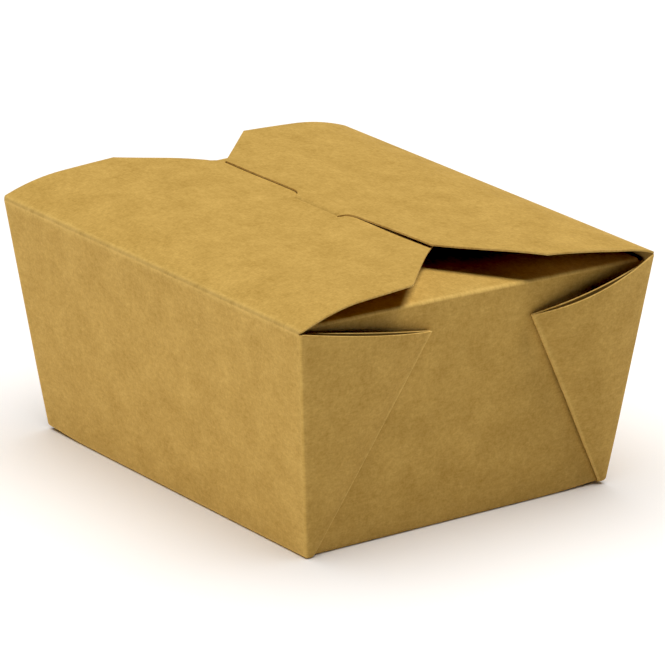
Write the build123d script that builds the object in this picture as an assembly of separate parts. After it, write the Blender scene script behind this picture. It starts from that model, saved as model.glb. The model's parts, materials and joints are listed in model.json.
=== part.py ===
"""Fold-top food carton of kraft board, folded from one die-cut blank.

Frame: origin at the middle of the base on the surface it stands on, +X along the long walls,
+Y towards the wall that carries the locking flap, +Z up. All lengths in millimetres, angles in degrees.
"""

import math
import os

from build123d import *

# Board and creases
BOARD = 0.45
LAYER_GAP = 0.12
FOLD_FLAT_SHARE = 0.4
CREASE_BULGE = 0.03
CORNER_BEND = 0.8
HINGE_GAP = 0.05
HINGE_RELIEF = 1.2
OVERRUN = 5.0

# Body: a base smaller than the rim, both measured over the folded sheet
BASE_LENGTH = 115.0
BASE_WIDTH = 93.0
TOP_LENGTH = 131.0
TOP_WIDTH = 108.5
RIM_HEIGHT = 62.0

# Corner gussets: two triangles folded flat on the outside of each end wall
GUSSET_TIP_REACH = 38.2
GUSSET_TIP_DROP = 8.4
GUSSET_EDGE_SAG = 1.2
GUSSET_RIM_BOW = 2.0
GUSSET_OUTER_GAPE = 1.5
GUSSET_INNER_GAPE = 0.9
END_WALL_BOW = 0.5

# Long flaps: they spring up at the crease by the lift angle, then run on to the middle at the slope angle
FLAP_LIFT = 20.5
FLAP_SLOPE = 3.6
FLAP_SPRING_LENGTH = 18.0
FLAP_SIDE_DEPTH = 33.5
FLAP_CORNER_SETBACK = 0.2
FLAP_ROOT_NOTCH = 1.6
FLAP_SIDE_TAPER = 0.3
FLAP_CORNER_RADIUS = 1.0
FLAP_GAP = 0.3

# Under flap: it passes below the locking flap and holds the slit
UNDER_NECK_WIDTH = 96.0
UNDER_NECK_SETBACK = 3.5
UNDER_LAP = 13.0
UNDER_END_RADIUS = 8.0
RIDGE_BEND_LENGTH = 11.0

# Locking flap and its tab, which dips by an angle
LOCK_EDGE_WIDTH = 88.5
LOCK_EDGE_SETBACK = 0.4
TAB_NECK_WIDTH = 18.0
TAB_ROOT_RADIUS = 5.0
TAB_REACH = 11.0
TAB_TIP_RADIUS = 4.0
TAB_BEND_LENGTH = 3.5
TAB_DIP = 24.0
SLIT_CLEARANCE = 0.35
SLIT_END_CLEARANCE = 1.3

# End flaps, folded in below both long flaps, with an angle of rise
END_FLAP_DEPTH = 41.0
END_FLAP_SIDE_DEPTH = 6.0
END_FLAP_CREASE_SETBACK = 2.0
END_FLAP_SIDE_TAPER = 0.6
END_FLAP_TIP_WIDTH = 44.0
END_FLAP_TIP_RADIUS = 7.0
END_FLAP_RISE = 4.0

# Places worked out from the sizes above
HINGE_Y = TOP_WIDTH / 2 - BOARD / 2
BEAD_RADIUS = BOARD / 2 + CREASE_BULGE
FOLD_RADIUS = BOARD + LAYER_GAP / 2
TIP_HEIGHT = RIM_HEIGHT - GUSSET_TIP_DROP
BASE_REACH = 2 * BOARD + 2 * LAYER_GAP + 2 * FOLD_RADIUS
RIM_REACH = BASE_REACH + (GUSSET_TIP_REACH - BASE_REACH) * RIM_HEIGHT / TIP_HEIGHT
FLAP_HALF_LENGTH = TOP_LENGTH / 2 - FLAP_CORNER_SETBACK
CREASE_HALF_LENGTH = TOP_LENGTH / 2 - CORNER_BEND - BOARD


class WallLevel:
    """The folded sheet cut level at one height: where each layer of a corner lies."""

    def __init__(self, height, length, width, reach, bow, outer_gape, inner_gape, end_bow):
        self.height = height
        self.bow = bow
        self.end_bow = end_bow
        self.wall = width / 2
        self.outer = length / 2
        self.layer_root = self.outer - BOARD - outer_gape
        self.end_face = self.layer_root - BOARD - inner_gape
        self.root_radius = BOARD + inner_gape / 2
        self.root_y = self.wall - BOARD - LAYER_GAP - self.root_radius
        self.tip_y = self.wall - reach + FOLD_RADIUS
        end_dip = end_bow * (1 - (self.tip_y / self.root_y) ** 2)
        self.tip_face = self.end_face - end_dip + LAYER_GAP

    def point(self, x, y):
        return Vector(x, y, self.height)

    def bowed(self, start, end):
        """An edge of the outer gusset layer, bowed away from the end wall and pressed flat at the base."""
        if not self.bow:
            return Line(start, end)
        middle = (start + end) / 2 + Vector(self.bow, 0, 0)
        return ThreePointArc(start, middle, end)

    def turn(self, start, end, bulge):
        """The outside of a fold: two creases with a flat between them, standing off by bulge along Y."""
        flat = (end - start) * FOLD_FLAT_SHARE / 2
        middle = (start + end) / 2 + Vector(0, bulge, 0)
        return Polyline(start, middle - flat, middle + flat, end)

    def corner(self):
        """The bend from the long wall into the gusset: round outside, and a plain crease inside."""
        centre = self.point(self.outer - CORNER_BEND, self.wall - CORNER_BEND)
        inside = CORNER_BEND - BOARD
        diagonal = CORNER_BEND * math.sqrt(2) / 2
        middle = centre + Vector(diagonal, diagonal, 0)
        bend = ThreePointArc(centre + Vector(0, CORNER_BEND, 0), middle, centre + Vector(CORNER_BEND, 0, 0))
        return bend, Line(centre + Vector(0, inside, 0), centre + Vector(inside, 0, 0))

    def pleat(self):
        """A quarter of the wall: long wall, outer gusset layer, fold, inner layer, fold to end wall."""
        outside, inside = self.corner()
        inner_fold_in = self.point(self.tip_face + BOARD, self.tip_y)
        inner_fold_out = self.point(self.tip_face, self.tip_y)
        outer_fold_in = inner_fold_in + Vector(LAYER_GAP, 0, 0)
        outer_fold_out = outer_fold_in + Vector(BOARD, 0, 0)
        root_in = self.point(self.layer_root, self.root_y)
        root_out = root_in - Vector(BOARD, 0, 0)
        end_out = self.point(self.end_face, self.root_y)
        end_in = end_out - Vector(BOARD, 0, 0)
        curves = [
            Line(self.point(0, self.wall), outside @ 0),
            outside,
            self.bowed(outside @ 1, outer_fold_out),
            self.turn(outer_fold_out, inner_fold_out, -FOLD_RADIUS),
            Line(inner_fold_out, root_out),
            Line(root_out, end_out),
            Line(end_out, end_in),
            self.turn(end_in, root_in, self.root_radius),
            Line(root_in, inner_fold_in),
            Line(inner_fold_in, outer_fold_in),
            self.bowed(outer_fold_in, inside @ 1),
            inside,
            Line(inside @ 0, self.point(0, self.wall - BOARD)),
            Line(self.point(0, self.wall - BOARD), self.point(0, self.wall)),
        ]
        return Face(Wire([edge for curve in curves for edge in curve.edges()]))

    def end_line(self, face):
        """One face of the end wall across the carton, dipping inwards in the middle."""
        ends = self.point(face, -self.root_y), self.point(face, self.root_y)
        if not self.end_bow:
            return Line(*ends)
        return ThreePointArc(ends[0], self.point(face - self.end_bow, 0), ends[1])

    def end_wall(self):
        outside, inside = self.end_line(self.end_face), self.end_line(self.end_face - BOARD)
        edges = [outside, Line(outside @ 1, inside @ 1), inside, Line(inside @ 0, outside @ 0)]
        return Face(Wire([edge.edge() for edge in edges]))


FLOOR = WallLevel(0, BASE_LENGTH, BASE_WIDTH, BASE_REACH, 0, LAYER_GAP, LAYER_GAP, 0)
RIM = WallLevel(
    RIM_HEIGHT, TOP_LENGTH, TOP_WIDTH, RIM_REACH, GUSSET_RIM_BOW,
    GUSSET_OUTER_GAPE, GUSSET_INNER_GAPE, END_WALL_BOW,
)


def both_ways(shape, plane):
    return [shape, mirror(shape, about=plane)]


def gusset_trim():
    """What is cut off above the gusset's sagging top edge, which falls from the rim to the folded tip."""
    level_wall = BASE_WIDTH / 2 + (TOP_WIDTH - BASE_WIDTH) / 2 * TIP_HEIGHT / RIM_HEIGHT
    start = Vector(0, TOP_WIDTH / 2 - CORNER_BEND - BOARD, RIM_HEIGHT)
    tip = Vector(0, level_wall - GUSSET_TIP_REACH, TIP_HEIGHT)
    middle = Vector(0, 0, TIP_HEIGHT)
    above = RIM_HEIGHT + OVERRUN
    edges = [
        ThreePointArc(start, (start + tip) / 2 - Vector(0, 0, GUSSET_EDGE_SAG), tip),
        Polyline(tip, middle, (0, 0, above), (0, start.Y, above), start),
    ]
    return extrude(make_face(edges), TOP_LENGTH, dir=(1, 0, 0))


def walls():
    """Base, long walls, end walls and the four pleated corners, as one ring on its base."""
    pleat = loft([FLOOR.pleat(), RIM.pleat()], ruled=True) - gusset_trim()
    end_wall = loft([FLOOR.end_wall(), RIM.end_wall()], ruled=True)
    pleats = [copy for half in both_ways(pleat, Plane.YZ) for copy in both_ways(half, Plane.XZ)]
    standing = (Align.CENTER, Align.CENTER, Align.MIN)
    base = Box(2 * FLOOR.end_face - BOARD, BASE_WIDTH - BOARD, BOARD, align=standing)
    return Part() + pleats + both_ways(end_wall, Plane.YZ) + base


def heading(angle):
    return Vector(0, math.cos(math.radians(angle)), math.sin(math.radians(angle)))


def stations(start, angle, bends):
    """Walks along runs of the sheet, each a length and a turn: point and heading at start, middle and end."""
    runs = []
    for length, turn in bends:
        run = [(start, angle)]
        for share in (0.5, 1):
            swept = math.radians(turn * share)
            chord = length * share * (math.sin(swept / 2) / (swept / 2) if swept else 1)
            run.append((start + heading(angle + turn * share / 2) * chord, angle + turn * share))
        runs.append(run)
        start, angle = run[-1]
    return runs


def bent_strip(runs, half_length):
    """A strip of board that follows the runs, with a round crease at its start, extruded along X."""
    sides = []
    for offset in (BOARD / 2, -BOARD / 2):
        side = []
        for run in runs:
            marks = [point + heading(angle + 90) * offset for point, angle in run]
            straight = run[0][1] == run[-1][1]
            side.append(Line(marks[0], marks[-1]) if straight else ThreePointArc(*marks))
        sides.append(side)
    upper, lower = sides
    caps = [Line(upper[0] @ 0, lower[0] @ 0), Line(upper[-1] @ 1, lower[-1] @ 1)]
    face = Face(Wire([edge.edge() for edge in upper + lower + caps]))
    strip = extrude(face, half_length, dir=(1, 0, 0), both=True)
    crease = Pos(runs[0][0][0]) * Rot(Y=90) * Cylinder(BEAD_RADIUS, 2 * half_length)
    return strip + crease


def prism(outline):
    """The whole height above the base, over one outline seen from above."""
    return extrude(make_face(outline), 2 * RIM_HEIGHT)


def flap_flank(edge_width, edge_setback):
    """A long flap's flank seen from above, crease at negative Y: notch, straight side, mitred corner."""
    return [
        (CREASE_HALF_LENGTH, -HINGE_Y - OVERRUN),
        (CREASE_HALF_LENGTH, FLAP_ROOT_NOTCH - HINGE_Y),
        (FLAP_HALF_LENGTH, FLAP_ROOT_NOTCH + CORNER_BEND - HINGE_Y),
        (FLAP_HALF_LENGTH - FLAP_SIDE_TAPER, FLAP_SIDE_DEPTH - HINGE_Y),
        (edge_width / 2, -edge_setback),
    ]


def flap_runs():
    """The two runs that both long flaps share: the sprung crease, then a straight run towards the middle."""
    spring = (FLAP_SPRING_LENGTH, FLAP_SLOPE - FLAP_LIFT)
    landed = stations(Vector(0, 0, 0), FLAP_LIFT, [spring])[-1][-1][0]
    return spring, landed.Y


RIDGE_SETBACK = (BOARD + FLAP_GAP) / (2 * math.sin(math.radians(FLAP_SLOPE)))


def under_runs():
    """Under flap: up to a ridge short of the middle, then down below the locking flap at an even gap."""
    spring, landed = flap_runs()
    level = math.cos(math.radians(FLAP_SLOPE))
    rise = (HINGE_Y - RIDGE_SETBACK - landed) / level - RIDGE_BEND_LENGTH / 2
    fall = (RIDGE_SETBACK + UNDER_LAP) / level
    bends = [spring, (rise, 0), (RIDGE_BEND_LENGTH, -2 * FLAP_SLOPE), (fall, 0)]
    return stations(Vector(0, -HINGE_Y, RIM_HEIGHT), FLAP_LIFT, bends)


def lock_runs():
    """Locking flap, drawn from its crease towards the middle, and the tab that dips through the slit."""
    spring, landed = flap_runs()
    run = (HINGE_Y - LOCK_EDGE_SETBACK - landed) / math.cos(math.radians(FLAP_SLOPE))
    dip = (TAB_BEND_LENGTH, -FLAP_SLOPE - TAB_DIP)
    return stations(Vector(0, -HINGE_Y, RIM_HEIGHT), FLAP_LIFT, [spring, (run, 0), dip, (TAB_REACH, 0)])


def slit():
    """The slit in the under flap, placed where the dipping tab crosses the ridge."""
    ridge = under_runs()[2][1][0]
    bend_end = lock_runs()[2][-1][0]
    slope = math.radians(TAB_DIP)
    crossing = -bend_end.Y - (bend_end.Z - ridge.Z) / math.tan(slope)
    half = BOARD / 2 * (1 / math.sin(slope) + 1 / math.tan(slope)) + SLIT_CLEARANCE
    length = TAB_NECK_WIDTH + 2 * SLIT_END_CLEARANCE
    opening = RectangleRounded(length, 2 * half, BOARD)
    return Pos(0, crossing, RIM_HEIGHT) * extrude(opening, RIM_HEIGHT, both=True)


def under_flap():
    right = flap_flank(UNDER_NECK_WIDTH, UNDER_NECK_SETBACK) + [(UNDER_NECK_WIDTH / 2, UNDER_LAP)]
    radii = [0, 0, 0, FLAP_CORNER_RADIUS, FLAP_CORNER_RADIUS, UNDER_END_RADIUS]
    left = [(-x, y) for x, y in reversed(right)]
    outline = FilletPolyline(*right, *left, radius=radii + radii[::-1], close=True)
    return (bent_strip(under_runs(), TOP_LENGTH) & prism(outline)) - slit()


def lock_outline():
    """Locking flap from above, drawn from its crease at negative Y: mitred flanks, edge and rounded tab."""
    edge_y = -LOCK_EDGE_SETBACK
    tip_y = edge_y + TAB_BEND_LENGTH + TAB_REACH * math.cos(math.radians(TAB_DIP)) - BOARD
    tab = [(TAB_NECK_WIDTH / 2, edge_y), (TAB_NECK_WIDTH / 2, tip_y)]
    radii = [0, 0, 0, FLAP_CORNER_RADIUS, FLAP_CORNER_RADIUS, TAB_ROOT_RADIUS, TAB_TIP_RADIUS]
    right = flap_flank(LOCK_EDGE_WIDTH, LOCK_EDGE_SETBACK) + tab
    left = [(-x, y) for x, y in reversed(right)]
    return FilletPolyline(*right, *left, radius=radii + radii[::-1], close=True)


def locking_flap():
    """Made on the near side and turned half round, so that its crease lies on the far long wall."""
    return Rot(Z=180) * (bent_strip(lock_runs(), TOP_LENGTH) & prism(lock_outline()))


def end_flap():
    """End flap at +X: its root follows the bowed rim of the end wall, and it rises a little inwards."""
    crease = RIM.root_y - END_FLAP_CREASE_SETBACK
    side = crease - END_FLAP_SIDE_TAPER
    upward = heading(90 - END_FLAP_RISE).rotate(Axis.Z, -90)
    plane = Plane((RIM.end_face, 0, RIM_HEIGHT), x_dir=(0, 1, 0), z_dir=upward)
    root_side = RIM.end_bow * (1 - (crease / RIM.root_y) ** 2) - CREASE_BULGE
    root_middle = RIM.end_bow - CREASE_BULGE
    root = ThreePointArc((-crease, root_side), (0, root_middle), (crease, root_side))
    flank = FilletPolyline(
        (crease, root_side),
        (side, END_FLAP_SIDE_DEPTH),
        (END_FLAP_TIP_WIDTH / 2, END_FLAP_DEPTH),
        (-END_FLAP_TIP_WIDTH / 2, END_FLAP_DEPTH),
        (-side, END_FLAP_SIDE_DEPTH),
        (-crease, root_side),
        radius=[FLAP_CORNER_RADIUS, END_FLAP_TIP_RADIUS, END_FLAP_TIP_RADIUS, FLAP_CORNER_RADIUS],
    )
    return extrude(plane * make_face([root, flank]), BOARD / 2, both=True)


def hinge_relief():
    """Clears the rim of the far long wall for the round crease of the locking flap."""
    low = RIM_HEIGHT - BEAD_RADIUS - HINGE_GAP
    align = (Align.CENTER, Align.MIN, Align.MIN)
    return Pos(0, HINGE_Y - HINGE_RELIEF, low) * Box(2 * TOP_LENGTH, OVERRUN, OVERRUN, align=align)


def carton():
    """The folded sheet as one solid: walls, base, gussets, end flaps and under flap."""
    body = walls() - hinge_relief()
    return body + both_ways(end_flap(), Plane.YZ) + under_flap()


os.makedirs("parts", exist_ok=True)
export_step(carton(), "parts/carton.step")
export_step(locking_flap(), "parts/locking_flap.step")
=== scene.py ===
# %% [markdown]
# # A folded kraft food carton
# The real carton is one die-cut sheet of brown board, scored and folded. Its walls flare from a small base,
# its corners are pleated so that nothing leaks, and four flaps close the top. This lesson dresses the packed
# solids of that carton. Everything is in metres, in the frame of the solids: +X runs along the long walls,
# +Y points to the wall that carries the locking flap, and the table is at zero height.

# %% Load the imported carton
import json
from collections import namedtuple

import bmesh
import bpy
import numpy as np
from mathutils import Matrix, Vector


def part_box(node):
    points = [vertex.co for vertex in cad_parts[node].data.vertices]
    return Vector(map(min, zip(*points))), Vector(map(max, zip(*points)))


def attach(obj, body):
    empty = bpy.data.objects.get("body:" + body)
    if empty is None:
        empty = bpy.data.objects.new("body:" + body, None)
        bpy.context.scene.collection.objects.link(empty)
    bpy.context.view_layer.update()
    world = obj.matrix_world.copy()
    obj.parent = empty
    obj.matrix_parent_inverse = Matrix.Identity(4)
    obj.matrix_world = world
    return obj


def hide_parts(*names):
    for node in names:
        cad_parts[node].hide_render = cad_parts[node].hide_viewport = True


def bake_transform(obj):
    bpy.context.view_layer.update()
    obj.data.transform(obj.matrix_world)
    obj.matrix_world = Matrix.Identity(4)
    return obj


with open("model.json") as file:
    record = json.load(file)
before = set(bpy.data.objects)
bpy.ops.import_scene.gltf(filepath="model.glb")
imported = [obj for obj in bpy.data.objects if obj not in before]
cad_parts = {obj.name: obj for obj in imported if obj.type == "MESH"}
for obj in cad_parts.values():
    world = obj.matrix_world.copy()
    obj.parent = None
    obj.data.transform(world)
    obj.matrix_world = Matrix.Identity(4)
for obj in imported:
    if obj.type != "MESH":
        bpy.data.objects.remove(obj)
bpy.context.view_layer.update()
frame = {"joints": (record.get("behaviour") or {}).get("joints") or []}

# %% [markdown]
# ## The sizes that drive everything
# Board is thin, so a carton's look is all in its folds and in how the layers spring apart. The rim's height
# and half width come from the crease that the locking flap turns on, and the rim's half length comes from
# the flap itself. The rest are sizes of the board and of the folds. They could be measured off the solids,
# but a size that is written once with a name is easier to read and to change.

# %% Sizes of the sheet
MM = 0.001
BOARD = 0.45 * MM
LAYER_GAP = 0.12 * MM
FOLD_RADIUS = (BOARD + LAYER_GAP) / 2
CORNER_BEND = 0.8 * MM
CREASE_TANGENT = 0.6 * MM
FLAP_END_CLEARANCE = 0.2 * MM
BASE_HALF_LENGTH = 57.5 * MM
BASE_HALF_WIDTH = 46.5 * MM

HINGE_Y, RIM_Z = frame["joints"][0]["pos_m"][1:]
RIM_HALF_WIDTH = HINGE_Y + BOARD / 2
RIM_HALF_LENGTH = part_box("locking_flap")[1].x + FLAP_END_CLEARANCE
WALL_ANGLE = np.arctan2(RIM_Z, RIM_HALF_WIDTH - BASE_HALF_WIDTH)
END_ANGLE = np.arctan2(RIM_Z, RIM_HALF_LENGTH - BASE_HALF_LENGTH)
TOP_SHARE = 1 - CREASE_TANGENT * np.sin(WALL_ANGLE) / RIM_Z
print(f"rim {2e3 * RIM_HALF_LENGTH:.1f} x {2e3 * RIM_HALF_WIDTH:.1f} mm at {1e3 * RIM_Z:.1f} mm")

# %% [markdown]
# ## Small helpers for grids
# Each stretch of the sheet is a grid of points: one direction runs across the sheet, the other runs along
# it. Samples crowd together near the creases, so that a flat panel stays flat in its shading and only the
# fold turns. Where a score has been bent, the board is worn pale, so each grid also gets crease marks.

# %% Grid helpers


def eased(count):
    """Shares from 0 to 1 that crowd at both ends: half of one minus the cosine of an even half turn."""
    return (1 - np.cos(np.pi * np.linspace(0, 1, count))) / 2


def between(first, last, share):
    """The value that lies the given share of the way from first to last."""
    return first + (last - first) * share


def smooth(value, start, end):
    """Zero up to start, one past end, and the cubic three t squared minus two t cubed between them."""
    t = np.clip((value - start) / (end - start), 0, 1)
    return t * t * (3 - 2 * t)


def hump(share):
    """A parabola that is zero at shares 0 and 1 and one half way."""
    return 4 * share * (1 - share)


def glow(distance, reach):
    """A bell curve: one at no distance, falling with the square of distance over reach."""
    return np.exp(-np.square(distance / reach))


Wear = namedtuple("Wear", "amount reach")


def worn(distance, wear):
    """Crease mark at a distance from a score: the amount of wear times a bell curve of its reach."""
    return wear.amount * glow(distance, wear.reach)


print("five eased shares:", eased(5).round(3))

# %% [markdown]
# ## Welding the stretches into one sheet
# The carton could be a solid box with cuts, but then the folds would have no layers. Here the stretches are
# grids on the middle of the board. They are put into one mesh, welded where they share an edge, and
# a Solidify modifier gives the board its thickness. Each point also stores two things for the materials: its
# place on the flat blank, measured along each panel, and how close it lies to a crease.

# %% The sheet of board
WELD = 0.004 * MM
END_PANEL, LONG_PANEL, LEVEL_PANEL = [1, 2], [0, 2], [0, 1]


class Sheet:
    """Collects grids of points on the middle of the board, with places on the blank and crease marks."""

    def __init__(self):
        self.points, self.quads, self.blank, self.crease = [], [], [], []
        self.count = 0

    def add(self, points, crease, axes, apart=(0, 0), turned=False):
        """Adds one grid. Its place on the blank is its coordinates along the panel's axes, moved apart."""
        rows, columns = points.shape[:2]
        blank = np.dstack([points[..., axes] + apart, np.zeros((rows, columns))])
        index = np.arange(rows * columns).reshape(rows, columns) + self.count
        ring = [index[:-1, :-1], index[:-1, 1:], index[1:, 1:], index[1:, :-1]]
        quads = np.stack(ring[::-1] if turned else ring, -1)
        self.points.append(points.reshape(-1, 3))
        self.quads.append(quads.reshape(-1, 4))
        self.blank.append(blank.reshape(-1, 3))
        self.crease.append(np.broadcast_to(crease, (rows, columns)).reshape(-1))
        self.count += rows * columns

    def weld(self, name):
        """One mesh of all the grids, with points closer than WELD merged."""
        mesh = bpy.data.meshes.new(name)
        mesh.from_pydata(np.vstack(self.points).tolist(), [], np.vstack(self.quads).tolist())
        blank = mesh.attributes.new("blank", "FLOAT_VECTOR", "POINT")
        blank.data.foreach_set("vector", np.vstack(self.blank).astype(np.float32).ravel())
        crease = mesh.attributes.new("crease", "FLOAT", "POINT")
        crease.data.foreach_set("value", np.concatenate(self.crease).astype(np.float32))
        welded = bmesh.new()
        welded.from_mesh(mesh)
        bmesh.ops.remove_doubles(welded, verts=welded.verts, dist=WELD)
        welded.to_mesh(mesh)
        welded.free()
        return mesh


print(f"points within {1e3 * WELD:.3f} mm of each other weld")

# %% [markdown]
# ## Giving the sheet its thickness
# Board has two faces and a cut edge. The faces could be drawn as grids of their own, but a Solidify modifier
# follows every fold by itself and gives the outside, the inside and the cut edge each a material. Its
# result is kept as the final mesh. Only angles sharper than a fold's steps stay hard, so bends shade
# smoothly and cut edges stay crisp.

# %% Thick board
SHARP_ANGLE = np.radians(50)


def thick_board(name, mesh, materials):
    """A piece of board: the sheet made BOARD thick about its middle, with outside, inside and cut edges."""
    sheet = bpy.data.objects.new(name + "_sheet", mesh)
    bpy.context.scene.collection.objects.link(sheet)
    for material in materials:
        mesh.materials.append(material)
    solid = sheet.modifiers.new("board", "SOLIDIFY")
    solid.thickness = BOARD
    solid.offset = 0
    solid.use_quality_normals = True
    solid.material_offset = 1
    solid.material_offset_rim = 2
    evaluated = sheet.evaluated_get(bpy.context.evaluated_depsgraph_get())
    board = bpy.data.meshes.new_from_object(evaluated)
    bpy.data.objects.remove(sheet)
    board.name = name
    board.shade_smooth()
    board.set_sharp_from_angle(angle=SHARP_ANGLE)
    piece = bpy.data.objects.new(name, board)
    bpy.context.scene.collection.objects.link(piece)
    triangles = sum(len(p.vertices) - 2 for p in board.polygons)
    print(f"{name}: {len(board.vertices)} points, {triangles} triangles")
    return piece


print(f"board is {1e3 * BOARD:.2f} mm thick")

# %% [markdown]
# ## Walking along the board
# Seen from the end, a flap is a line that bends at its crease and then springs nearly flat. The easiest way
# to draw such a line is to walk it: each run has a length and a turn, the heading changes evenly along the
# run, and the place is the sum of tiny steps along the heading.

# %% The walk
WALK_SAMPLES = 4000


class Walk:
    """A line in the plane of distance and height, from a start, a heading and runs of (length, turn)."""

    def __init__(self, start, heading, runs):
        lengths = np.array([run[0] for run in runs])
        turns = np.array([run[1] for run in runs])
        self.marks = np.concatenate([[0], lengths.cumsum()])
        headings = heading + np.concatenate([[0], turns.cumsum()])
        self.travel = np.linspace(0, self.marks[-1], WALK_SAMPLES)
        middle = (self.travel[1:] + self.travel[:-1]) / 2
        ahead = np.interp(middle, self.marks, headings)
        step = np.diff(self.travel)
        self.distance = start[0] + np.concatenate([[0], (np.cos(ahead) * step).cumsum()])
        self.height = start[1] + np.concatenate([[0], (np.sin(ahead) * step).cumsum()])

    def at(self, travel):
        """Distance and height after walking that far."""
        return np.interp(travel, self.travel, self.distance), np.interp(travel, self.travel, self.height)


def crease_run(turn):
    """The rounded crease: an arc whose tangents are CREASE_TANGENT long, as a run of length and turn."""
    return CREASE_TANGENT / np.tan(turn / 2) * turn, turn


print(f"a square crease takes {1e3 * crease_run(np.pi / 2)[0]:.2f} mm of board")

# %% [markdown]
# ## The walls, level by level
# Cut the carton level at any height and you see one closed ribbon: long wall, round corner, out along the
# end, back on itself at a fold, and then the end wall. Each column of the grid below is one place on that
# ribbon, followed from the base up to where the board was cut. The pleat's two layers are pressed flat at
# the base and gape near the top, where the outer layer also bows out. Each wall could be a flat panel of its
# own, but then every fold between two walls would have to be bridged.

# %% Rows of the wall
TOE = BOARD + LAYER_GAP + FOLD_RADIUS
TOE_ROWS = 7
WALL_ROWS = 44

toe_turn = np.linspace(0, np.pi / 2, TOE_ROWS)
toe_height = BOARD / 2 + TOE * (1 - np.cos(toe_turn))
wall_height = between(toe_height[-1], RIM_Z * TOP_SHARE, eased(WALL_ROWS))[1:]
ROW_SHARE = np.concatenate([toe_height, wall_height])[:, None] / (RIM_Z * TOP_SHARE)
ROW_INSET = np.concatenate([TOE * (1 - np.sin(toe_turn)), np.zeros(WALL_ROWS - 1)])[:, None]


def rows_to(cut):
    """Levels of the rows up to a cut share: rows at the base keep their height and the others close up."""
    return ROW_SHARE * TOP_SHARE - ROW_SHARE**2 * (TOP_SHARE - cut)


print("wall rows", len(ROW_SHARE), "from", f"{1e3 * toe_height[0]:.2f} mm up")

# %% Places at a level
OUTER_GAPE = 1.5 * MM
INNER_GAPE = 0.9 * MM
END_BOW = 0.6 * MM
END_LEAN_SHARE = 0.35


def outside_length(level):
    """Half the length over the outer layers at a level, which grows evenly from base to rim."""
    return between(BASE_HALF_LENGTH, RIM_HALF_LENGTH, level)


def outside_width(level):
    """Half the width over the long walls at a level, which grows evenly from base to rim."""
    return between(BASE_HALF_WIDTH, RIM_HALF_WIDTH, level)


def inner_root(level):
    """How far out the inner layer starts beside the long wall: behind the outer layer and its gape."""
    return outside_length(level) - 1.5 * BOARD - between(LAYER_GAP, OUTER_GAPE, level)


def end_root(level):
    """How far out the end wall lies at its sides: behind the inner layer and its gape."""
    return inner_root(level) - BOARD - between(LAYER_GAP, INNER_GAPE, level)


def root_side(level):
    """Half the width of the end wall: inside the long wall by the board and the fold at the pleat's root."""
    fold = (inner_root(level) - end_root(level)) / 2
    return outside_width(level) - 1.5 * BOARD - LAYER_GAP - fold


def end_dip(y, level):
    """How far the end wall bows in: a parabola across it that leans to one side and grows with height."""
    share = y / root_side(level)
    return END_BOW * level * (1 - share**2) * (1 - END_LEAN_SHARE * share)


print(f"at the rim the end wall lies {1e3 * (outside_length(1) - end_root(1)):.1f} mm behind the outside")

# %% [markdown]
# ## A pleated corner in plan
# This is the feature that makes the carton: a triangle of board folded double against the end wall. No two
# corners of a hand-folded carton are the same, so each one has its own reach along the end, drop and sag of
# its cut edge, bow, spring off the end wall, and how low the end wall's crease lies beside it. Each stretch
# gives plan coordinates as a function of two parameters, the place across the ribbon and the level. Flat
# triangles could be turned about their folds instead, but they wouldn't bow or gape.

# %% Plan of a pleat
BASE_REACH = 2 * BOARD + 2 * LAYER_GAP + 2 * (BOARD + LAYER_GAP / 2)
INNER_BOW_SHARE = 0.8

Corner = namedtuple("Corner", "reach drop sag bow spring low")
CORNERS = {
    (1, -1): Corner(41.5 * MM, 8.0 * MM, 0.35 * MM, 2.7 * MM, 0.15 * MM, 0.2 * MM),
    (1, 1): Corner(35.2 * MM, 9.8 * MM, 1.2 * MM, 3.8 * MM, 0.7 * MM, 2.2 * MM),
    (-1, -1): Corner(38.0 * MM, 8.2 * MM, 0.6 * MM, 1.8 * MM, 0.3 * MM, 0.5 * MM),
    (-1, 1): Corner(38.4 * MM, 8.6 * MM, 0.7 * MM, 2.0 * MM, 0.3 * MM, 0.5 * MM),
}


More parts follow.
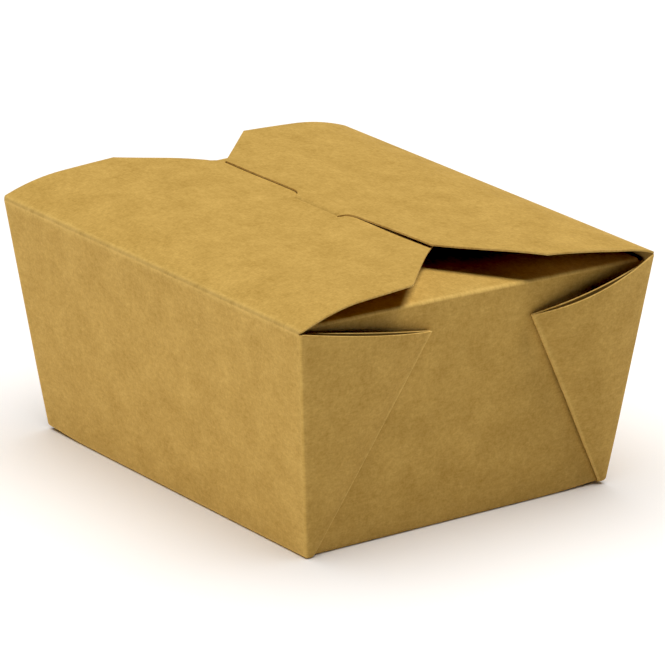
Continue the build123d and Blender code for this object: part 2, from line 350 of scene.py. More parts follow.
class Pleat:
    """Plan of one corner, drawn for end and side +1: the tip, and x and y of the five stretches."""

    def __init__(self, end, side):
        self.side = side
        self.corner = CORNERS[end, side]
        tip_share = 1 - self.corner.drop / RIM_Z
        self.rim_reach = BASE_REACH + (self.corner.reach - BASE_REACH) / tip_share

    def tip(self, level):
        """Middle of the tip's fold: it reaches further along the end with height, and springs off it."""
        y = outside_width(level) - between(BASE_REACH, self.rim_reach, level) + FOLD_RADIUS + BOARD / 2
        x = end_root(level) - end_dip(self.side * y, level) + BOARD + LAYER_GAP + FOLD_RADIUS
        return x + self.corner.spring * hump(level), y

    def bend(self, turn, level):
        """A quarter circle from the long wall to the outer layer."""
        radius = CORNER_BEND - BOARD / 2
        x = outside_length(level) - CORNER_BEND + radius * np.cos(turn)
        return x, outside_width(level) - CORNER_BEND + radius * np.sin(turn)

    def outer_layer(self, share, level):
        """A straight line from the bend to the tip, plus a bow that grows with height."""
        tip_x, tip_y = self.tip(level)
        x = between(outside_length(level) - BOARD / 2, tip_x + FOLD_RADIUS, share)
        x = x + self.corner.bow * level * hump(share)
        return x, between(outside_width(level) - CORNER_BEND, tip_y, share)

    def tip_fold(self, turn, level):
        """Half a circle about the middle of the tip."""
        tip_x, tip_y = self.tip(level)
        return tip_x + FOLD_RADIUS * np.cos(turn), tip_y - FOLD_RADIUS * np.sin(turn)

    def inner_layer(self, share, level):
        """A straight line from the tip back to the root, with most of the outer layer's bow."""
        tip_x, tip_y = self.tip(level)
        x = between(tip_x - FOLD_RADIUS, inner_root(level), share)
        x = x + INNER_BOW_SHARE * self.corner.bow * level * hump(share)
        return x, between(tip_y, root_side(level), share)

    def root_fold(self, turn, level):
        """Half a circle from the inner layer to the end wall."""
        radius = (inner_root(level) - end_root(level)) / 2
        x = end_root(level) + radius + radius * np.cos(turn)
        return x, root_side(level) + radius * np.sin(turn)


print("pleats reach", ", ".join(f"{1e3 * corner.reach:.1f}" for corner in CORNERS.values()), "mm")

# %% [markdown]
# ## From plan to grid
# A stretch of the ribbon becomes a grid once its plan is followed up all the rows to its cut edge. Along
# with x and y, every point keeps its crease mark, its level and the direction that is outward there, so that
# the foot of the wall can roll in towards the base. The five stretches of a corner then lie side by side.

# %% One pleat
BEND_COLUMNS = 7
LAYER_COLUMNS = 26
FOLD_COLUMNS = 11
CORNER_WEAR = Wear(0.3, 0.8 * MM)
TIP_WEAR = Wear(1.0, 0.7 * MM)


def cut_share(first, last, share, sag=0):
    """Level of a cut edge that falls from first to last below the top, with a sag half way."""
    return TOP_SHARE - (between(first, last, share) + sag * hump(share)) / RIM_Z


def stretch(places, cut, crease, plan, outward=(1, 0)):
    """Six grids of one stretch: x, y, crease mark, level, and the two parts of the outward direction."""
    level = rows_to(np.atleast_1d(cut))
    x, y = plan(places, level)
    flat = np.zeros((len(ROW_SHARE), places.size))
    return np.stack([part + flat for part in (x, y, crease, level, *outward)])


def pleat_grid(end, side):
    """The grids of one corner, from the long wall to the root of the end wall."""
    plan = Pleat(end, side)
    corner = plan.corner
    quarter = np.linspace(np.pi / 2, 0, BEND_COLUMNS)
    half = np.linspace(0, np.pi, FOLD_COLUMNS)[1:]
    share = eased(LAYER_COLUMNS)[1:]
    near = worn(share * corner.reach, CORNER_WEAR) + worn((1 - share) * corner.reach, TIP_WEAR)
    return np.concatenate([
        stretch(quarter, TOP_SHARE, CORNER_WEAR.amount, plan.bend, (np.cos(quarter), np.sin(quarter))),
        stretch(share, cut_share(0, corner.drop, share, corner.sag), near, plan.outer_layer),
        stretch(half, cut_share(0, corner.drop, 1), TIP_WEAR.amount, plan.tip_fold),
        stretch(share, cut_share(corner.drop, corner.low, share), 0, plan.inner_layer),
        stretch(half, cut_share(0, corner.low, 1), 0, plan.root_fold),
    ], axis=2)


print("a pleat has", " x ".join(str(size) for size in pleat_grid(1, 1).shape[1:]), "points")

# %% [markdown]
# ## The two ends
# Each end is one grid: pleat, end wall from side to side, pleat. The wall's crease falls evenly from what
# one corner gives it to what the other one does. Both pleats are drawn for the same side, so one of them is
# mirrored and the other is read backwards. Three grids would do as well, but one has no joins to weld.

# %% Both ends
END_KNOT_SHARE = 0.985
END_COLUMNS = 41
END_SHARES = np.concatenate([[-1], END_KNOT_SHARE * (2 * eased(END_COLUMNS) - 1), [1]])
END_FOOT_WEAR = Wear(0.6, 0.8 * MM)
END_APART = 0.2
MIRRORED = np.array([1, -1, 1, 1, 1, -1])[:, None, None]


def end_wall(share, level):
    """Plan of an end wall: a straight line between its roots, less the dip."""
    y = share * root_side(level)
    return end_root(level) - end_dip(y, level), y


def end_strip(end):
    """The whole end as one grid. Level times rim height is z."""
    share = END_SHARES[1:-1]
    low = between(CORNERS[end, -1].low, CORNERS[end, 1].low, (1 + share) / 2)
    wall = stretch(share, TOP_SHARE - low / RIM_Z, 0, end_wall)
    near = pleat_grid(end, -1) * MIRRORED
    far = pleat_grid(end, 1)[:, :, ::-1]
    x, y, crease, level, out_x, out_y = np.concatenate([near, wall, far], axis=2)
    x = x - ROW_INSET * out_x
    y = y - ROW_INSET * out_y
    crease = np.maximum(crease, worn(level * RIM_Z, END_FOOT_WEAR))
    return np.dstack([end * x, y, level * RIM_Z]), crease


sheet = Sheet()
ends = {end: end_strip(end) for end in (1, -1)}
for end, (points, crease) in ends.items():
    sheet.add(points, crease, END_PANEL, (0, end * END_APART), turned=end < 0)
    print(f"end {end:+d}: {points.shape[0]} x {points.shape[1]} points")

# %% [markdown]
# ## Long walls and base
# The long walls are plain panels between the corner bends. Their columns take the same rows as the pleats,
# so the shared edges weld without a seam. The base closes the bottom, and its edges roll up into the walls.

# %% Long walls and base
LONG_COLUMNS = 72
LONG_APART = (0.3, 0.1)
BASE_APART = (0.6, 0)
RIM_WEAR = {-1: Wear(1.0, 0.7 * MM), 1: Wear(0.7, 0.6 * MM)}
LONG_FOOT_WEAR = Wear(0.7, 0.9 * MM)
long_share = 2 * eased(LONG_COLUMNS) - 1


def long_wall(side):
    """A long wall: its columns spread evenly over the length at each level, and the toe rolls in."""
    level = ROW_SHARE * TOP_SHARE
    x = long_share * (outside_length(level) - CORNER_BEND)
    y = side * (outside_width(level) - BOARD / 2 - ROW_INSET) * np.ones_like(long_share)
    z = level * RIM_Z * np.ones_like(long_share)
    corner_mark = worn((1 - abs(long_share)) * RIM_HALF_LENGTH, CORNER_WEAR)
    rim_mark = worn(z - RIM_Z * TOP_SHARE, RIM_WEAR[side])
    crease = np.maximum(np.maximum(corner_mark, rim_mark), worn(z, LONG_FOOT_WEAR))
    return np.dstack([x, y, z]), crease


for side in (-1, 1):
    points, crease = long_wall(side)
    sheet.add(points, crease, LONG_PANEL, (LONG_APART[0], side * LONG_APART[1]), turned=side > 0)

base_level = ROW_SHARE[0, 0] * TOP_SHARE
base_y = END_SHARES * root_side(base_level)
base_edge = end_root(base_level) - TOE
base_half = np.where(abs(END_SHARES) < 1, base_edge, outside_length(base_level) - CORNER_BEND)
base_x = long_share * base_half[:, None]
base = np.dstack([base_x, base_y[:, None] * np.ones_like(long_share), np.full(base_x.shape, BOARD / 2)])
sheet.add(base, 0, LEVEL_PANEL, BASE_APART, turned=True)
print("base", base.shape[:2], f"{2e3 * base_edge:.1f} mm long inside its creases")

# %% [markdown]
# ## The end flaps
# They fold in first and lie under the long flaps, rising a little inwards. Each one goes on from the top row
# of its end wall: a crease, then a flat stretch whose half width is a function of the depth. A flat piece
# laid on the rim would be simpler, but it would have no round crease.

# %% End flaps
END_FLAP_DEPTH = 41 * MM
END_FLAP_SIDE_DEPTH = 6 * MM
END_FLAP_SIDE_INSET = 0.6 * MM
END_FLAP_TIP_HALF_WIDTH = 22 * MM
END_FLAP_TIP_RADIUS = 7 * MM
END_FLAP_RISE = np.radians(4)
END_FLAP_WEAR = Wear(1.0, 0.8 * MM)
END_FLAP_APART = (0.9, 0)
CREASE_ROWS = 9
END_FLAP_ROWS = 30


def rounded_end(depth, end, radius):
    """What a cut end with round corners takes off the half width: the fall of a circle, below zero."""
    over = np.clip(depth - (end - radius), 0, radius)
    return np.sqrt(radius**2 - over**2) - radius


def flap_rows(marks, counts):
    """Travel samples through each run between marks, crowded at the ends of the runs."""
    runs = [between(a, b, eased(count))[1:] for a, b, count in zip(marks, marks[1:], counts)]
    return np.concatenate([[marks[0]], *runs])


end_walk = Walk((0, 0), END_ANGLE, [crease_run(np.pi - END_FLAP_RISE - END_ANGLE), (END_FLAP_DEPTH, 0)])
end_travel = flap_rows(end_walk.marks, (CREASE_ROWS, END_FLAP_ROWS))[:, None]


def end_flap(points):
    """Goes on from the middle columns of an end's top row. Depth is travel, and width narrows with depth."""
    half = points.shape[1] // 2
    top = points[-1, half - END_COLUMNS // 2 : half + END_COLUMNS // 2 + 1]
    end = np.sign(top[0, 0])
    start = abs(top[0, 1])
    knots = [0, END_FLAP_SIDE_DEPTH, END_FLAP_DEPTH]
    widths = [start, start - END_FLAP_SIDE_INSET, END_FLAP_TIP_HALF_WIDTH]
    width = np.interp(end_travel, knots, widths)
    width = width + rounded_end(end_travel, end_walk.marks[-1], END_FLAP_TIP_RADIUS)
    out, up = end_walk.at(end_travel)
    x = top[:, 0] + end * out
    y = top[:, 1] / start * width
    crease = worn(end_travel - end_walk.marks[1] / 2, END_FLAP_WEAR)
    return np.dstack([x, y, top[:, 2] + up]), crease * np.ones_like(x)


for end in (1, -1):
    points, crease = end_flap(ends[end][0])
    sheet.add(points, crease, LEVEL_PANEL, END_FLAP_APART, turned=end < 0)
print("end flap rows", end_travel.size)

# %% [markdown]
# ## The two long flaps
# Both spring up at their crease and then run nearly flat. The near one, the under flap, bends over a low
# ridge and passes below the other. The far one is the locking flap, whose tab dips into a slit. The same
# walk gives both of their lines, and both sag a little in the middle, where the tab pulls them down. A
# curve could bend them too, but on a walk every run of board keeps the length that it was cut to.

# %% Lines of the long flaps
FLAP_LIFT = np.radians(20.5)
FLAP_SLOPE = np.radians(3.6)
FLAP_SPRING = 18 * MM
FLAP_GAP = 0.3 * MM
UNDER_LAP = 13 * MM
RIDGE_BEND = 11 * MM
RIDGE_SETBACK = (BOARD + FLAP_GAP) / (2 * np.sin(FLAP_SLOPE))
LOCK_EDGE_SETBACK = 0.4 * MM
TAB_BEND = 3.5 * MM
TAB_DIP = np.radians(24)
TAB_REACH = 11 * MM

flap_start = (outside_width(TOP_SHARE) - BOARD / 2, RIM_Z * TOP_SHARE)
flap_crease = crease_run(np.pi - FLAP_LIFT - WALL_ANGLE)
flap_spring = (FLAP_SPRING - CREASE_TANGENT, FLAP_LIFT - FLAP_SLOPE)
landed = Walk(flap_start, WALL_ANGLE, [flap_crease, flap_spring]).distance[-1]
under_walk = Walk(flap_start, WALL_ANGLE, [
    flap_crease,
    flap_spring,
    ((landed - RIDGE_SETBACK) / np.cos(FLAP_SLOPE) - RIDGE_BEND / 2, 0),
    (RIDGE_BEND, 2 * FLAP_SLOPE),
    ((RIDGE_SETBACK + UNDER_LAP) / np.cos(FLAP_SLOPE) - RIDGE_BEND / 2, 0),
])
lock_walk = Walk(flap_start, WALL_ANGLE, [
    flap_crease,
    flap_spring,
    ((landed - LOCK_EDGE_SETBACK) / np.cos(FLAP_SLOPE), 0),
    (TAB_BEND, FLAP_SLOPE + TAB_DIP),
    (TAB_REACH, 0),
])
print(f"under flap ends {-1e3 * under_walk.distance[-1]:.1f} mm past the middle,",
      f"tab ends {-1e3 * lock_walk.distance[-1]:.1f} mm past it")

# %% [markdown]
# ## Where the tab meets the slit
# A real slit has no width. The board gives way instead: the lip on the near side rides up over the tab and
# the lip on the far side is pressed down under it, so the slit opens like a mouth. The slit lies where the
# tab has dropped a little below the under flap. A hole cut with a boolean would look punched out.

# %% The slit and the sag of the lid
SLIT_HALF_LENGTH = 10.3 * MM
SLIT_SHARPNESS = 16
SLIT_SEARCH = 8 * MM
SLIT_SAMPLES = 400
TAB_BELOW = 0.3 * MM
LID_SAG = 0.45 * MM
LID_SAG_REACH = 22 * MM
BACK_SAG = 0.6 * MM
BACK_SAG_SPAN = (15 * MM, 50 * MM)

slit_search = np.linspace(-SLIT_SEARCH, 0, SLIT_SAMPLES)
under_height = np.interp(slit_search, -under_walk.distance, under_walk.height)
tab_height = np.interp(slit_search, lock_walk.distance[::-1], lock_walk.height[::-1])
SLIT_Y = np.interp(-TAB_BELOW, tab_height - under_height, slit_search)


def lid_sag(x, y):
    """How far both flaps sag: a parabola along the seam, more at the back, times a bell curve across it."""
    along = LID_SAG * np.clip(1 - np.square(x / RIM_HALF_LENGTH), 0, 1)
    along = along + BACK_SAG * smooth(-x, *BACK_SAG_SPAN)
    return -along * glow(y, LID_SAG_REACH)


def slit_mouth(x):
    """One over nearly the whole slit and zero at its ends: one minus a high power of the share along it."""
    return np.clip(1 - np.abs(x / SLIT_HALF_LENGTH) ** SLIT_SHARPNESS, 0, 1)


print(f"slit lies at {1e3 * SLIT_Y:.2f} mm from the middle")

# %% [markdown]
# ## The under flap
# Its half width is a function of depth: straight sides, a mitred corner, a narrower neck and a rounded end.
# The necks differ from end to end. The board curls up a little along both mitres, and at one end its side
# stands higher too. The flap is two grids that share the line of the slit. They weld beside the slit and
# stay apart in it.

# %% Outline of the under flap
FLAP_SIDE_DEPTH = 33.5 * MM
FLAP_SIDE_HALF_LENGTH = 65 * MM
FLAP_ROOT_HALF_LENGTH = 65.3 * MM
UNDER_NECKS = {1: (41 * MM, -3.6 * MM), -1: (46.6 * MM, 2.7 * MM)}
UNDER_END_RADIUS = 8 * MM

crease_half_length = outside_length(TOP_SHARE) - CORNER_BEND


def travel_to(walk, depth):
    """The travel at which a flap is that deep, measured level from its crease line."""
    past = walk.travel > walk.marks[1]
    return np.interp(depth, HINGE_Y - walk.distance[past], walk.travel[past])


under_side = travel_to(under_walk, FLAP_SIDE_DEPTH)
slit_travel = travel_to(under_walk, HINGE_Y + SLIT_Y)
under_end = under_walk.marks[-1]


def under_half_width(travel, end):
    """Half width of the under flap towards one end, after that much travel."""
    neck, setback = UNDER_NECKS[end]
    knots = [0, under_walk.marks[1], under_side, travel_to(under_walk, HINGE_Y - setback), under_end]
    widths = [crease_half_length, FLAP_ROOT_HALF_LENGTH, FLAP_SIDE_HALF_LENGTH, neck, neck]
    return np.interp(travel, knots, widths) + rounded_end(travel, under_end, UNDER_END_RADIUS)


print(f"slit is {1e3 * slit_travel:.1f} mm along the under flap, of {1e3 * under_end:.1f} mm")

# %% Under flap
LIP_RISE = 0.25 * MM
LIP_PRESS = 1.1 * MM
LIP_REACH = 4 * MM
CURL_RISE = 0.6 * MM
CURL_ALONG = (26 * MM, 48 * MM)
CURL_START = (-22 * MM, -4 * MM)
CURL_STOP = (-4 * MM, 3 * MM)
SIDE_ALONG = (30 * MM, 62 * MM)
UNDER_SIDE_LIFT = 0.7 * MM
UNDER_SIDE_START = (0, 20 * MM)
UNDER_SIDE_STOP = (-14 * MM, 0)
UNDER_WEAR = Wear(1.0, 0.75 * MM)
UNDER_APART = (LONG_APART[0], HINGE_Y + RIM_Z - LONG_APART[1])
WING_COLUMNS = 24
SLIT_COLUMNS = 31
UNDER_ROWS = 26
LAP_ROWS, LAP_END_ROWS = 22, 12

slit_ends = [SLIT_HALF_LENGTH / under_half_width(slit_travel, end) for end in (1, -1)]
near_wing, far_wing = [between(share, 1, eased(WING_COLUMNS)) for share in slit_ends]
slit_shares = between(-far_wing[0], near_wing[0], eased(SLIT_COLUMNS))
UNDER_SHARES = np.concatenate([-far_wing[:0:-1], slit_shares, near_wing[1:]])


def under_flap(travel, lip):
    """One part of the under flap. Lip is the rise of the board at the slit, fading with distance from it."""
    travel = travel[:, None]
    halves = [under_half_width(travel, end) for end in (1, -1)]
    x = UNDER_SHARES * np.where(UNDER_SHARES > 0, *halves)
    distance, height = under_walk.at(travel)
    y = -distance * np.ones_like(x)
    near_slit = smooth(LIP_REACH - np.abs(travel - slit_travel), 0, LIP_REACH)
    curl = smooth(np.abs(x), *CURL_ALONG) * smooth(y, *CURL_START) * (1 - smooth(y, *CURL_STOP))
    side = smooth(x, *SIDE_ALONG) * smooth(travel, *UNDER_SIDE_START) * (1 - smooth(y, *UNDER_SIDE_STOP))
    z = height + lid_sag(x, y) + lip * slit_mouth(x) * near_slit + CURL_RISE * curl + UNDER_SIDE_LIFT * side
    crease = worn(travel - under_walk.marks[1] / 2, UNDER_WEAR) * np.ones_like(x)
    return np.dstack([x, y, z]), crease


near_marks = [0, under_walk.marks[1], under_side, slit_travel]
near_rows = flap_rows(near_marks, (CREASE_ROWS, UNDER_ROWS, UNDER_ROWS))
far_rows = flap_rows([slit_travel, under_end - UNDER_END_RADIUS, under_end], (LAP_ROWS, LAP_END_ROWS))
for rows, lip in ((near_rows, LIP_RISE), (far_rows, -LIP_PRESS)):
    points, crease = under_flap(rows, lip)
    sheet.add(points, crease, LEVEL_PANEL, UNDER_APART)
print("under flap", near_rows.size, "+", far_rows.size, "rows of", UNDER_SHARES.size)

# %% [markdown]
# ## The locking flap
# The same kind of grid, mitred to a straight edge, with the tab going on from the middle columns of its last
# row. The tab's half width comes from two circles: a hollow one at its root and a round one at its tip. One
# front corner stands up a little, as it does when such a carton has just been shut, and the side of the flap
# at that end is lower by its crease and higher by its mitre. The tab holds the middle of the edge down.

# %% Outline of the locking flap
LOCK_EDGE_HALF_WIDTH = 44.25 * MM
TAB_HALF_WIDTH = 9 * MM
TAB_ROOT_RADIUS = 5 * MM
TAB_TIP_RADIUS = 4 * MM
TAB_SHARE = (TAB_HALF_WIDTH + TAB_ROOT_RADIUS) / LOCK_EDGE_HALF_WIDTH

lock_edge, tab_end = lock_walk.marks[3], lock_walk.marks[5]
lock_side = travel_to(lock_walk, FLAP_SIDE_DEPTH)


def lock_half_width(travel):
    """Half width of the locking flap: along its side, and then down the mitre to its edge."""
    knots = [0, lock_walk.marks[1], lock_side, lock_edge]
    widths = [crease_half_length, FLAP_ROOT_HALF_LENGTH, FLAP_SIDE_HALF_LENGTH, LOCK_EDGE_HALF_WIDTH]
    return np.interp(travel, knots, widths)


def tab_half_width(travel):
    """Half width of the tab: a hollow circle at the root, straight sides, and a round end."""
    to_go = np.clip(lock_edge + TAB_ROOT_RADIUS - travel, 0, TAB_ROOT_RADIUS)
    root = TAB_HALF_WIDTH + TAB_ROOT_RADIUS - np.sqrt(TAB_ROOT_RADIUS**2 - to_go**2)
    return root + rounded_end(travel, tab_end, TAB_TIP_RADIUS)


print(f"locking flap is {1e3 * lock_edge:.1f} mm along the board, {1e3 * tab_end:.1f} mm with its tab")

# %% Locking flap
CORNER_LIFT = 0.45 * MM
CORNER_ALONG = (12 * MM, 46 * MM)
BACK_PRESS = 0.08 * MM
BACK_ALONG = (16 * MM, 44 * MM)
ROOT_PRESS = 0.24 * MM
ROOT_FRONT = (11 * MM, 30 * MM)
ROOT_BACK = (22 * MM, 44 * MM)
EDGE_START = (-30 * MM, 0)
SIDE_LIFT = 0.7 * MM
SIDE_START = (16 * MM, 34 * MM)
SIDE_STOP = (36 * MM, 53 * MM)
ARCH_FALL = 0.6 * MM
ARCH_DEPTH = 12 * MM
ARCH_REACH = 7 * MM
LOCK_WEAR = Wear(0.8, 0.7 * MM)
LOCK_APART = (LONG_APART[0], 0.5)
LOCK_ROWS, MITRE_ROWS = 26, 24
TAB_ROOT_ROWS, TAB_ROWS, TAB_TIP_ROWS = 14, 10, 10
TAB_COLUMNS = 27


def lock_flap(travel, x):
    """The locking flap at those travels and places along it: its walk plus the sag, lifts and presses."""
    distance, height = lock_walk.at(travel)
    y = distance * np.ones_like(x)
    depth = HINGE_Y - y
    edge = CORNER_LIFT * smooth(x, *CORNER_ALONG) - BACK_PRESS * smooth(-x, *BACK_ALONG)
    edge = edge - ROOT_PRESS * (1 - smooth(x, *ROOT_FRONT) - smooth(-x, *ROOT_BACK))
    side = SIDE_LIFT * smooth(depth, *SIDE_START) * (1 - smooth(depth, *SIDE_STOP))
    side = side - ARCH_FALL * glow(depth - ARCH_DEPTH, ARCH_REACH)
    lift = edge * smooth(-y, *EDGE_START) + side * smooth(x, *SIDE_ALONG)
    crease = worn(travel - lock_walk.marks[1] / 2, LOCK_WEAR) * np.ones_like(x)
    return np.dstack([x, y, height + lid_sag(x, y) + lift]), crease


lock_rows = flap_rows([0, lock_walk.marks[1], lock_side, lock_edge], (CREASE_ROWS, LOCK_ROWS, MITRE_ROWS))
tab_marks = [lock_edge, lock_edge + TAB_ROOT_RADIUS, tab_end - TAB_TIP_RADIUS, tab_end]
tab_rows = flap_rows(tab_marks, (TAB_ROOT_ROWS, TAB_ROWS, TAB_TIP_ROWS))
tab_shares = TAB_SHARE * (2 * eased(TAB_COLUMNS) - 1)
wing = between(TAB_SHARE, 1, eased(WING_COLUMNS))[1:]
lock_shares = np.concatenate([-wing[::-1], tab_shares, wing])

lock_sheet = Sheet()
travel = lock_rows[:, None]
points, crease = lock_flap(travel, lock_shares * lock_half_width(travel))
lock_sheet.add(points, crease, LEVEL_PANEL, LOCK_APART, turned=True)
travel = tab_rows[:, None]
points, crease = lock_flap(travel, tab_shares / TAB_SHARE * tab_half_width(travel))
lock_sheet.add(points, crease, LEVEL_PANEL, LOCK_APART, turned=True)
print("locking flap", lock_rows.size, "rows, tab", tab_rows.size, "rows")

# %% [markdown]
# ## Kraft board as a material
# Brown board is cellulose fibre in every direction, pressed flat: broad pale and dark clouds, a fine mottle
# and grain, and single fibres that show as short strokes. The node group below makes them from the place on
# the blank, so that they stay the same size on every panel. A picture of board would repeat and blur up
# close. Outside, inside and cut edge all use the group, each in its own strength.

# %% Helpers for shader nodes


def add(tree, kind, **settings):
    """A new node. A setting named like an input, or i and its number, fills it. Others set the node."""
    made = tree.nodes.new(kind)
    for key, value in settings.items():
        if hasattr(made, key):
            setattr(made, key, value)
    for key, value in settings.items():
        if hasattr(made, key):
            continue
        socket = made.inputs[int(key[1:])] if key[1:].isdigit() else made.inputs[key.replace("_", " ")]
        if isinstance(value, bpy.types.NodeSocket):
            tree.links.new(value, socket)
        else:
            socket.default_value = value
    return made


def plus(tree, first, second, weight):
    """First plus weight times second."""
    made = add(tree, "ShaderNodeMath", operation="MULTIPLY_ADD", i0=second, i1=weight, i2=first)
    return made.outputs[0]


def mix(tree, share, first, second):
    """The colour that lies the given share of the way from first to second."""
    made = add(tree, "ShaderNodeMix", data_type="RGBA", i0=share, i6=first, i7=second)
    return made.outputs[2]


# %% Shared fibre group
CLOUD_SIZE, MOTTLE_SIZE, GRAIN_SIZE = 9 * MM, 1.5 * MM, 0.6 * MM
CLOUD_TONE, MOTTLE_TONE, GRAIN_TONE, FLECK_TONE = 1.4, 1.3, 1.4, 0.16
GRAIN_HEIGHT, FLECK_HEIGHT = 0.6, 0.5
NOISE_DETAIL, NOISE_ROUGHNESS = 3.0, 0.55
FIBRE_LENGTH, FIBRE_WIDTH = 3.2 * MM, 0.28 * MM
FIBRE_ANGLES = (0.25, 1.35, 2.5)
FIBRE_RARITY, FIBRE_SOFTNESS = 0.6, 0.12


def noise(tree, place, size):
    """Noise about zero, from roughly -0.5 to 0.5, in blobs of that size."""
    texture = add(tree, "ShaderNodeTexNoise", Vector=place, Scale=1 / size, Detail=NOISE_DETAIL,
                  Roughness=NOISE_ROUGHNESS)
    return add(tree, "ShaderNodeMath", operation="SUBTRACT", i0=texture.outputs["Fac"], i1=0.5).outputs[0]


def strokes(tree, place, angle):
    """Short straight fibres at an angle: noise stretched along them, kept only where it is high."""
    stretched = (1 / FIBRE_LENGTH, 1 / FIBRE_WIDTH, 1)
    turned = add(tree, "ShaderNodeMapping", Vector=place, Rotation=(0, 0, angle), Scale=stretched)
    texture = add(tree, "ShaderNodeTexNoise", Vector=turned.outputs[0], Scale=1.0, Detail=1.0)
    kept = add(tree, "ShaderNodeMapRange", Value=texture.outputs["Fac"], From_Min=FIBRE_RARITY,
               From_Max=FIBRE_RARITY + FIBRE_SOFTNESS)
    return kept.outputs[0]


fibre = bpy.data.node_groups.new("kraft_fibre", "ShaderNodeTree")
fibre.interface.new_socket("Place", in_out="INPUT", socket_type="NodeSocketVector")
for output in ("Tone", "Fleck", "Height"):
    fibre.interface.new_socket(output, in_out="OUTPUT", socket_type="NodeSocketFloat")
place = fibre.nodes.new("NodeGroupInput").outputs["Place"]
group_out = fibre.nodes.new("NodeGroupOutput")
cloud, mottle, grain = [noise(fibre, place, size) for size in (CLOUD_SIZE, MOTTLE_SIZE, GRAIN_SIZE)]
lines = [strokes(fibre, place, angle) for angle in FIBRE_ANGLES]
pair = add(fibre, "ShaderNodeMath", operation="MAXIMUM", i0=lines[0], i1=lines[1]).outputs[0]
fleck = add(fibre, "ShaderNodeMath", operation="MAXIMUM", i0=pair, i1=lines[2]).outputs[0]
tone = 0.0
for layer, weight in ((cloud, CLOUD_TONE), (mottle, MOTTLE_TONE), (grain, GRAIN_TONE), (fleck, FLECK_TONE)):
    tone = plus(fibre, tone, layer, weight)
height = plus(fibre, plus(fibre, mottle, grain, GRAIN_HEIGHT), fleck, FLECK_HEIGHT)
fibre.links.new(tone, group_out.inputs["Tone"])
fibre.links.new(fleck, group_out.inputs["Fleck"])
fibre.links.new(height, group_out.inputs["Height"])
print("fibre group has", len(fibre.nodes), "nodes")

# %% [markdown]
# ## Outside, inside and cut edge
# Outside, the board is bare and matt, and where a score has been bent its top layer has stretched to a paler
# line. Inside it has a thin film against grease, so it is a little glossy. The cut edge shows the core,
# speckled by the fibre ends, and its dark end is deepened and made more saturated as painted shade for the
# seams where a cut edge sits in the gap between two flaps. One material with masks could do all three, but
# three calls of one function are easier to tune.

# %% Three finishes
MID_SHARE = 0.5
SCORE_PATCHINESS = 0.5
FLECK_GLOSS = 0.1
RELIEF_DEPTH = 0.03 * MM
BOARD_SPECULAR = 0.25
FILM_ROUGHNESS = 0.35


def board_material(name, low, high, contrast, roughness, relief, film=0.0, scored=None):
    """One finish of the board: low to high by fibre tone, paler along scores, with relief and a film."""
    made = bpy.data.materials.new(name)
    made.use_nodes = True
    tree = made.node_tree
    shader = tree.nodes["Principled BSDF"]
    blank = add(tree, "ShaderNodeAttribute", attribute_name="blank").outputs["Vector"]
    group = add(tree, "ShaderNodeGroup", node_tree=fibre, Place=blank)
    share = plus(tree, MID_SHARE, group.outputs["Tone"], contrast)
    share.node.use_clamp = True
    colour = mix(tree, share, (*low, 1), (*high, 1))
    if scored:
        crease = add(tree, "ShaderNodeAttribute", attribute_name="crease").outputs["Fac"]
        patches = plus(tree, MID_SHARE, group.outputs["Tone"], SCORE_PATCHINESS)
        amount = add(tree, "ShaderNodeMath", operation="MULTIPLY", i0=crease, i1=patches)
        colour = mix(tree, amount.outputs[0], colour, (*scored, 1))
    tree.links.new(colour, shader.inputs["Base Color"])
    tree.links.new(plus(tree, roughness, group.outputs["Fleck"], -FLECK_GLOSS), shader.inputs["Roughness"])
    height = group.outputs["Height"]
    bump = add(tree, "ShaderNodeBump", Height=height, Strength=relief, Distance=RELIEF_DEPTH)
    tree.links.new(bump.outputs[0], shader.inputs["Normal"])
    shader.inputs["Specular IOR Level"].default_value = BOARD_SPECULAR
    shader.inputs["Coat Weight"].default_value = film
    shader.inputs["Coat Roughness"].default_value = FILM_ROUGHNESS
    return made


OUTSIDE_LOW, OUTSIDE_HIGH, SCORED = (0.395, 0.232, 0.040), (0.595, 0.375, 0.092), (0.68, 0.45, 0.125)
INSIDE_LOW, INSIDE_HIGH = (0.38, 0.225, 0.044), (0.56, 0.355, 0.090)
# The edge's dark colour is partly the core's own colour and partly painted warm shade for the seams between
# the flaps.
EDGE_LOW_WITH_SEAM_SHADE, EDGE_HIGH = (0.34, 0.18, 0.026), (0.64, 0.44, 0.13)
finishes = [
    board_material("kraft_outside", OUTSIDE_LOW, OUTSIDE_HIGH, contrast=0.75, roughness=0.82, relief=0.5,
                   scored=SCORED),
    board_material("kraft_inside", INSIDE_LOW, INSIDE_HIGH, contrast=0.5, roughness=0.5, relief=0.2,
                   film=0.25),
    board_material("kraft_edge", EDGE_LOW_WITH_SEAM_SHADE, EDGE_HIGH, contrast=0.6, roughness=0.9, relief=0.5),
]
print("finishes:", ", ".join(m.name for m in finishes))

# %% [markdown]
# ## Two pieces of board
# The carton is one sheet, but the locking flap has to swing, so it is a piece of its own that starts at the
# crease. A hand-folded carton doesn't sit quite flat either, so two opposite corners of its foot are lifted
# a little.

# %% Make the pieces
FOOT_LIFT = 0.7 * MM
FOOT_REACH = 9 * MM


def stand(points):
    """Lifts two opposite corners of the foot by a bell curve of the distance, fading upwards."""
    x, y, z = points.T
    corner = np.hypot(np.abs(x) - BASE_HALF_LENGTH, np.abs(y) - BASE_HALF_WIDTH)
    lift = FOOT_LIFT * glow(corner, FOOT_REACH) * (1 - smooth(z, 0, 2 * FOOT_REACH)) * (x * y > 0)
    return np.stack([x, y, z + lift], -1)


sheet.points = [stand(points) for points in sheet.points]
carton = thick_board("carton_board", sheet.weld("carton_sheet"), finishes)
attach(carton, "carton")
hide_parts("carton")

flap = thick_board("locking_flap_board", lock_sheet.weld("locking_flap_sheet"), finishes)
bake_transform(flap)
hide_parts("locking_flap")

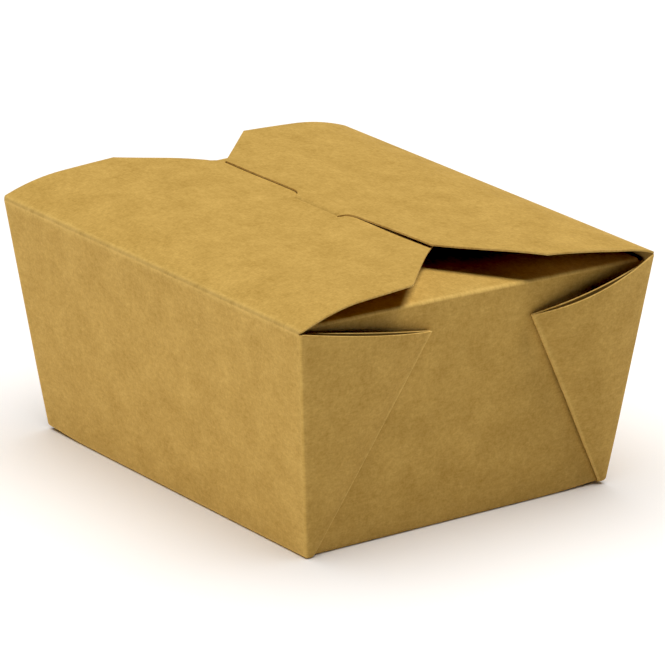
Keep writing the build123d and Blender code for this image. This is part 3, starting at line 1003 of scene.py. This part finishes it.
# %% [markdown]
# ## The table
# A plain pale floor, large enough to fill the picture from every side. It is a touch warm, and so is the
# light that it throws back onto the walls. A backdrop that curves up would do from the front, but it would
# hide the carton from behind.

# %% Floor
FLOOR_HALF = 6.0
FLOOR_COLOUR = (0.95, 0.925, 0.90, 1)
FLOOR_ROUGHNESS = 0.9

floor_mesh = bpy.data.meshes.new("floor")
corner_signs = [(-1, -1), (1, -1), (1, 1), (-1, 1)]
floor_mesh.from_pydata([(x * FLOOR_HALF, y * FLOOR_HALF, 0) for x, y in corner_signs], [], [(0, 1, 2, 3)])
floor = bpy.data.objects.new("floor", floor_mesh)
bpy.context.scene.collection.objects.link(floor)
pale = bpy.data.materials.new("pale_floor")
pale.use_nodes = True
pale_inputs = pale.node_tree.nodes["Principled BSDF"].inputs
pale_inputs["Base Color"].default_value = FLOOR_COLOUR
pale_inputs["Roughness"].default_value = FLOOR_ROUGHNESS
floor_mesh.materials.append(pale)
print(f"floor is {2 * FLOOR_HALF:.0f} m square")

# %% [markdown]
# ## Soft light
# In the photo the lid is the brightest, the near wall comes next and the end wall is the darkest, with deep
# gaps under the flaps. One lamp can't do that, so three broad suns share the work. One hangs overhead,
# a little towards the far wall and the visible end, so that the locking flap shades the end flap below it.
# A cooler one fills the near wall. The third falls on the table alone and keeps it white, and the table
# lights the end wall from below. Light linking says what each sun falls on, and the display's black level
# deepens the gaps.

# %% Suns
WHITE = (1, 1, 1)
COOL = (0.98, 0.99, 1.07)


def lit_group(name, *objects):
    """A named group of objects for a sun to fall on."""
    group = bpy.data.collections.new(name)
    for lit in objects:
        group.objects.link(lit)
    return group


def soft_sun(name, lit, direction, spread, strength, colour=WHITE):
    """A broad even light from a direction onto a group. Its spread in degrees softens the shadows."""
    data = bpy.data.lights.new(name, "SUN")
    data.angle = np.radians(spread)
    data.energy = strength
    data.color = colour
    sun = bpy.data.objects.new(name, data)
    sun.matrix_world = Vector(direction).to_track_quat("Z", "Y").to_matrix().to_4x4()
    sun.light_linking.receiver_collection = lit
    bpy.context.scene.collection.objects.link(sun)
    print(f"{name}: strength {strength} over {spread} degrees")


boards = lit_group("lit_boards", carton, flap)
table = lit_group("lit_table", floor)
soft_sun("overhead", boards, direction=(0.19, 0.36, 1.0), spread=22, strength=3.75)
soft_sun("near_side", boards, direction=(-0.05, -1.0, 0.10), spread=24, strength=1.6, colour=COOL)
soft_sun("table_light", table, direction=(0.0, 0.0, 1.0), spread=80, strength=3.6)

# %% Room and display
ROOM_STRENGTH = 0.06
BLACK_LEVEL = (0.022, 0.0125, 0.0031)

world = bpy.data.worlds.new("room")
world.use_nodes = True
room_inputs = world.node_tree.nodes["Background"].inputs
room_inputs["Color"].default_value = (*WHITE, 1)
room_inputs["Strength"].default_value = ROOM_STRENGTH
bpy.context.scene.world = world
display = bpy.context.scene.view_settings
display.view_transform = "Standard"
display.use_curve_mapping = True
display.curve_mapping.black_level = BLACK_LEVEL
display.curve_mapping.update()
print(f"room light {ROOM_STRENGTH}, black level {BLACK_LEVEL}")

# %% [markdown]
# ## Camera
# The photo looks down on a corner of the carton from far away, so that the walls hardly converge. A camera
# could be placed by eye, but its turn, tilt, roll and distance here were fitted to the corners of the carton
# that show. The focal length is written in pixels of the photo, because that is what the fit measures.

# %% Camera
TURN, TILT, ROLL = np.radians((54.11, 18.95, 0.30))
AIM = Vector((0, 0, 31 * MM))
FAR = 1.496
SHIFT = 2.1 * MM
PIXELS, FOCAL_PIXELS = 665, 5900
SENSOR = 36

back = Vector((np.sin(TURN) * np.cos(TILT), -np.cos(TURN) * np.cos(TILT), np.sin(TILT)))
level_right = Vector((np.cos(TURN), np.sin(TURN), 0))
level_up = back.cross(level_right)
right = level_right * np.cos(ROLL) + level_up * np.sin(ROLL)
up = level_up * np.cos(ROLL) - level_right * np.sin(ROLL)
eye = AIM + right * SHIFT + up * SHIFT + back * FAR
camera_data = bpy.data.cameras.new("camera")
camera_data.sensor_width = SENSOR
camera_data.lens = SENSOR * FOCAL_PIXELS / PIXELS
camera = bpy.data.objects.new("camera", camera_data)
camera.matrix_world = Matrix.Translation(eye) @ Matrix((right, up, back)).transposed().to_4x4()
bpy.context.scene.collection.objects.link(camera)
bpy.context.scene.camera = camera
print("camera at", tuple(round(v, 3) for v in eye), f"lens {camera_data.lens:.1f} mm")
